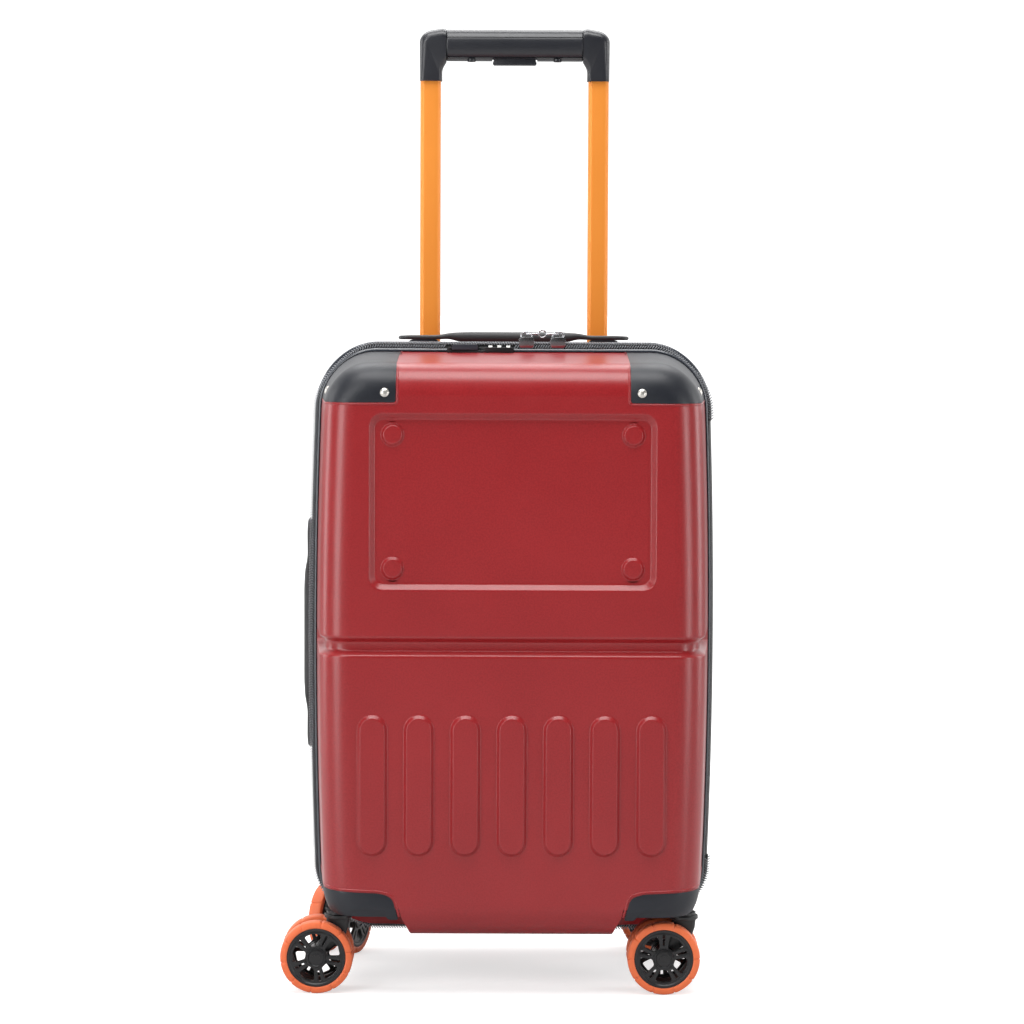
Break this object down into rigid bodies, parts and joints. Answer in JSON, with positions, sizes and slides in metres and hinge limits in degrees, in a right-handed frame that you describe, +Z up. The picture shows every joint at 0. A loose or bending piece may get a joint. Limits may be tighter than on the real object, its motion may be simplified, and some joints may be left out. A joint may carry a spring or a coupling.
{
  "type": "hard-shell cabin suitcase",
  "caption": "Upright hard-shell cabin case with zip closure, corner guards, combination lock, carry handles, pull-out trolley handle and swivel casters.",
  "frame": {"origin": "on the floor, under the middle of the whole object's bounding box", "axes": "+Z up, -Y the front face with the badge recess, +X the hinge side (right seen from the front); the side carry handle is at -X"},
  "size_m": [0.3617, 0.229, 0.806],
  "materials": {
    "shell": "satin red, fine textured moulded plastic",
    "black_plastic": "satin black moulded plastic",
    "edge_trim": "dark blue-grey extruded edging",
    "zip_tape": "woven black tape with coil teeth",
    "tyre": "orange moulded tyre",
    "trolley_tube": "satin orange coated tube",
    "inner_tube": "plain satin tube",
    "metal": "bright plated",
    "soft_grip": "soft-touch black",
    "dial": "pale moulded number wheel without figures"
  },
  "bodies": {
    "base": {"base_shell": "shell", "base_trim": "edge_trim", "base_zip_tape": "zip_tape", "base_hinge_tape": "zip_tape", "guard_top_rear_left": "black_plastic", "guard_top_rear_right": "black_plastic", "caster_housing_rear_left": "black_plastic", "caster_housing_rear_right": "black_plastic", "trolley_tube_outer_left": "inner_tube", "trolley_tube_outer_right": "inner_tube", "trolley_bezel": "black_plastic", "top_handle_mount": "black_plastic", "side_handle_mount": "black_plastic"},
    "lid": {"lid_shell": "shell", "lid_trim": "edge_trim", "lid_zip_tape": "zip_tape", "lid_hinge_tape": "zip_tape", "guard_top_front_left": "black_plastic", "guard_top_front_right": "black_plastic", "caster_housing_front_left": "black_plastic", "caster_housing_front_right": "black_plastic", "lock_body": "metal"},
    "swivel_front_left": {"caster_front_left_fork": "black_plastic"},
    "wheel_front_left_a": {"caster_front_left_hub_a": "black_plastic", "caster_front_left_tyre_a": "tyre"},
    "wheel_front_left_b": {"caster_front_left_hub_b": "black_plastic", "caster_front_left_tyre_b": "tyre"},
    "swivel_front_right": {"caster_front_right_fork": "black_plastic"},
    "wheel_front_right_a": {"caster_front_right_hub_a": "black_plastic", "caster_front_right_tyre_a": "tyre"},
    "wheel_front_right_b": {"caster_front_right_hub_b": "black_plastic", "caster_front_right_tyre_b": "tyre"},
    "swivel_rear_left": {"caster_rear_left_fork": "black_plastic"},
    "wheel_rear_left_a": {"caster_rear_left_hub_a": "black_plastic", "caster_rear_left_tyre_a": "tyre"},
    "wheel_rear_left_b": {"caster_rear_left_hub_b": "black_plastic", "caster_rear_left_tyre_b": "tyre"},
    "swivel_rear_right": {"caster_rear_right_fork": "black_plastic"},
    "wheel_rear_right_a": {"caster_rear_right_hub_a": "black_plastic", "caster_rear_right_tyre_a": "tyre"},
    "wheel_rear_right_b": {"caster_rear_right_hub_b": "black_plastic", "caster_rear_right_tyre_b": "tyre"},
    "trolley_middle": {"trolley_tube_middle_left": "inner_tube", "trolley_tube_middle_right": "inner_tube"},
    "trolley_upper": {"trolley_tube_upper_left": "trolley_tube", "trolley_tube_upper_right": "trolley_tube", "trolley_elbow_left": "black_plastic", "trolley_elbow_right": "black_plastic", "trolley_grip": "soft_grip"},
    "trolley_button": {"trolley_button": "black_plastic"},
    "lock_slide": {"lock_slide": "black_plastic"},
    "dial_1": {"lock_dial_1": "dial"},
    "dial_2": {"lock_dial_2": "dial"},
    "dial_3": {"lock_dial_3": "dial"},
    "slider_left": {"zip_slider_left": "metal"},
    "pull_left": {"zip_pull_left": "metal"},
    "slider_right": {"zip_slider_right": "metal"},
    "pull_right": {"zip_pull_right": "metal"},
    "top_handle": {"top_handle": "soft_grip"},
    "side_handle": {"side_handle": "soft_grip"}
  },
  "joints": [
    {"name": "lid_hinge", "type": "hinge", "parent": "base", "child": "lid", "pos_m": [0.1814, 0, 0.285], "axis": [0, 0, -1], "range_deg": [-180, 0]},
    {"name": "swivel_front_left_turn", "type": "hinge", "parent": "lid", "child": "swivel_front_left", "pos_m": [-0.1343, -0.08, 0.062], "axis": [0, 0, 1], "continuous": true},
    {"name": "wheel_front_left_a_spin", "type": "hinge", "parent": "swivel_front_left", "child": "wheel_front_left_a", "pos_m": [-0.1516, -0.0925, 0.03], "axis": [0, 1, 0], "continuous": true},
    {"name": "wheel_front_left_b_spin", "type": "hinge", "parent": "swivel_front_left", "child": "wheel_front_left_b", "pos_m": [-0.1516, -0.0675, 0.03], "axis": [0, 1, 0], "continuous": true},
    {"name": "swivel_front_right_turn", "type": "hinge", "parent": "lid", "child": "swivel_front_right", "pos_m": [0.1523, -0.08, 0.062], "axis": [0, 0, 1], "continuous": true},
    {"name": "wheel_front_right_a_spin", "type": "hinge", "parent": "swivel_front_right", "child": "wheel_front_right_a", "pos_m": [0.135, -0.0925, 0.03], "axis": [0, 1, 0], "continuous": true},
    {"name": "wheel_front_right_b_spin", "type": "hinge", "parent": "swivel_front_right", "child": "wheel_front_right_b", "pos_m": [0.135, -0.0675, 0.03], "axis": [0, 1, 0], "continuous": true},
    {"name": "swivel_rear_left_turn", "type": "hinge", "parent": "base", "child": "swivel_rear_left", "pos_m": [-0.1343, 0.085, 0.062], "axis": [0, 0, 1], "continuous": true},
    {"name": "wheel_rear_left_a_spin", "type": "hinge", "parent": "swivel_rear_left", "child": "wheel_rear_left_a", "pos_m": [-0.12883, 0.06437, 0.03], "axis": [-0.9336, 0.3584, 0], "continuous": true},
    {"name": "wheel_rear_left_b_spin", "type": "hinge", "parent": "swivel_rear_left", "child": "wheel_rear_left_b", "pos_m": [-0.15217, 0.07333, 0.03], "axis": [-0.9336, 0.3584, 0], "continuous": true},
    {"name": "swivel_rear_right_turn", "type": "hinge", "parent": "base", "child": "swivel_rear_right", "pos_m": [0.1523, 0.085, 0.062], "axis": [0, 0, 1], "continuous": true},
    {"name": "wheel_rear_right_a_spin", "type": "hinge", "parent": "swivel_rear_right", "child": "wheel_rear_right_a", "pos_m": [0.135, 0.0725, 0.03], "axis": [0, 1, 0], "continuous": true},
    {"name": "wheel_rear_right_b_spin", "type": "hinge", "parent": "swivel_rear_right", "child": "wheel_rear_right_b", "pos_m": [0.135, 0.0975, 0.03], "axis": [0, 1, 0], "continuous": true},
    {"name": "trolley_middle_slide", "type": "slide", "parent": "base", "child": "trolley_middle", "axis": [0, 0, 1], "range_m": [0, 0.2]},
    {"name": "trolley_upper_slide", "type": "slide", "parent": "trolley_middle", "child": "trolley_upper", "axis": [0, 0, 1], "range_m": [-0.254, 0]},
    {"name": "trolley_button_press", "type": "slide", "parent": "trolley_upper", "child": "trolley_button", "axis": [0, 0, 1], "range_m": [0, 0.004], "stiffness_N_per_m": 600},
    {"name": "lock_slide_push", "type": "slide", "parent": "lid", "child": "lock_slide", "axis": [1, 0, 0], "range_m": [0, 0.005], "stiffness_N_per_m": 300},
    {"name": "dial_1_turn", "type": "hinge", "parent": "lid", "child": "dial_1", "pos_m": [-0.0105, -0.0092, 0.5296], "axis": [1, 0, 0], "continuous": true},
    {"name": "dial_2_turn", "type": "hinge", "parent": "lid", "child": "dial_2", "pos_m": [-0.003, -0.0092, 0.5296], "axis": [1, 0, 0], "continuous": true},
    {"name": "dial_3_turn", "type": "hinge", "parent": "lid", "child": "dial_3", "pos_m": [0.0045, -0.0092, 0.5296], "axis": [1, 0, 0], "continuous": true},
    {"name": "slider_left_run", "type": "slide", "parent": "base", "child": "slider_left", "axis": [1, 0, 0], "range_m": [-0.085, 0.003]},
    {"name": "pull_left_flip", "type": "hinge", "parent": "slider_left", "child": "pull_left", "pos_m": [0.02, 0, 0.543], "axis": [0, -1, 0], "range_deg": [0, 150]},
    {"name": "slider_right_run", "type": "slide", "parent": "base", "child": "slider_right", "axis": [1, 0, 0], "range_m": [-0.003, 0.07]},
    {"name": "pull_right_flip", "type": "hinge", "parent": "slider_right", "child": "pull_right", "pos_m": [0.0465, 0, 0.543], "axis": [0, 1, 0], "range_deg": [0, 150]},
    {"name": "top_handle_lift", "type": "slide", "parent": "base", "child": "top_handle", "axis": [0, 0, 1], "range_m": [0, 0.012], "stiffness_N_per_m": 200},
    {"name": "side_handle_lift", "type": "slide", "parent": "base", "child": "side_handle", "axis": [-1, 0, 0], "range_m": [0, 0.012], "stiffness_N_per_m": 200}
  ]
}
